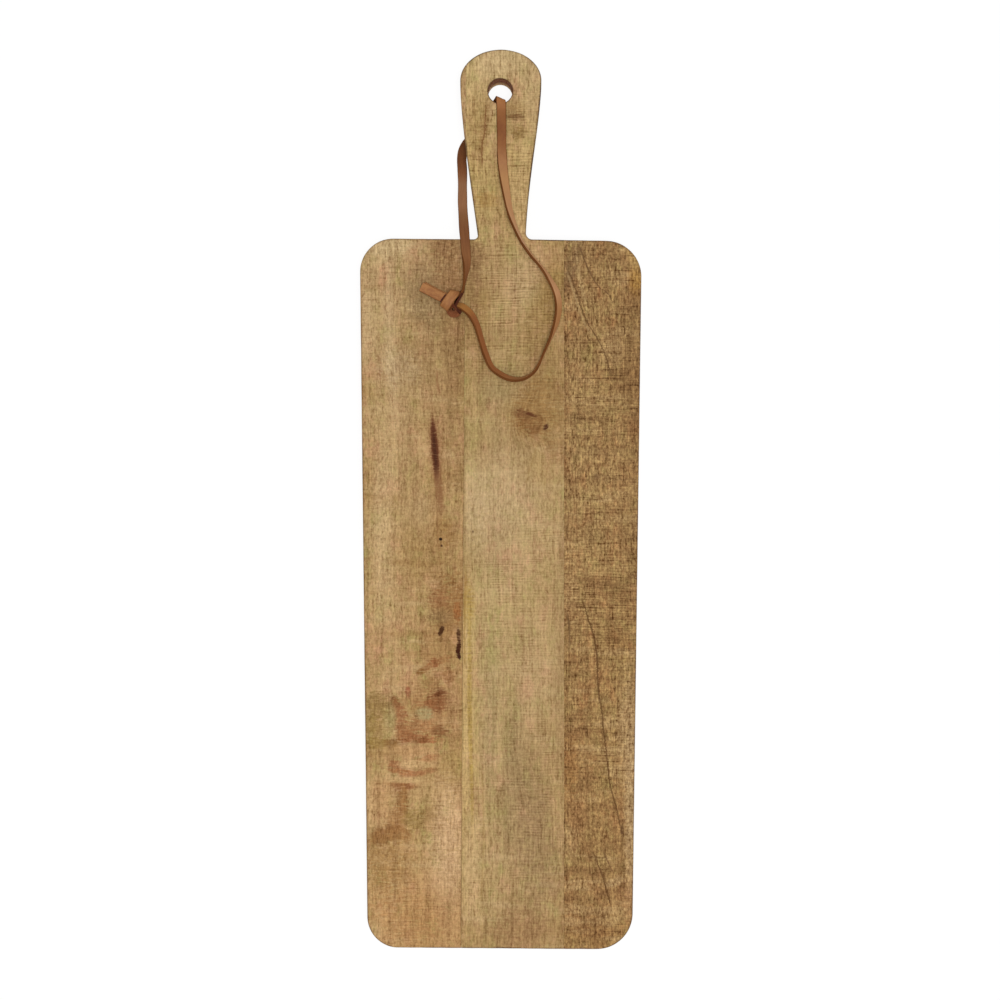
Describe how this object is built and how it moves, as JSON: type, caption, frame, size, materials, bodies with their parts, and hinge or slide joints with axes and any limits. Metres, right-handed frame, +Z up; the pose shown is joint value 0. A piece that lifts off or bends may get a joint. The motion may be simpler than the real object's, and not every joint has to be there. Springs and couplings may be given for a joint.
{
  "type": "serving board",
  "caption": "Long rustic wooden serving board with a handle, glued up from planks, with a hanging hole and a knotted flat leather thong.",
  "frame": {"origin": "middle of the board's footprint, on the surface that its back lies on", "axes": "+X across the board, +Y towards the end of the handle, +Z up out of the serving face"},
  "size_m": [0.1563, 0.4998, 0.022],
  "materials": {
    "light_wood": "sawn and lightly oiled",
    "pale_wood": "sawn and lightly oiled",
    "brown_wood": "sawn and lightly oiled",
    "leather_grain_side": "smooth, burnished cut edges",
    "leather_flesh_side": "matt"
  },
  "bodies": {
    "root": {"left_stave": "light_wood", "middle_stave": "pale_wood", "right_stave": "brown_wood", "handle_edge_strip": "light_wood", "thong_front_run": "leather_grain_side", "thong_hole_bend": "leather_grain_side", "thong_back_run": "leather_flesh_side", "thong_knot": "leather_grain_side", "thong_tail_upper": "leather_grain_side", "thong_tail_lower": "leather_flesh_side"}
  },
  "joints": []
}
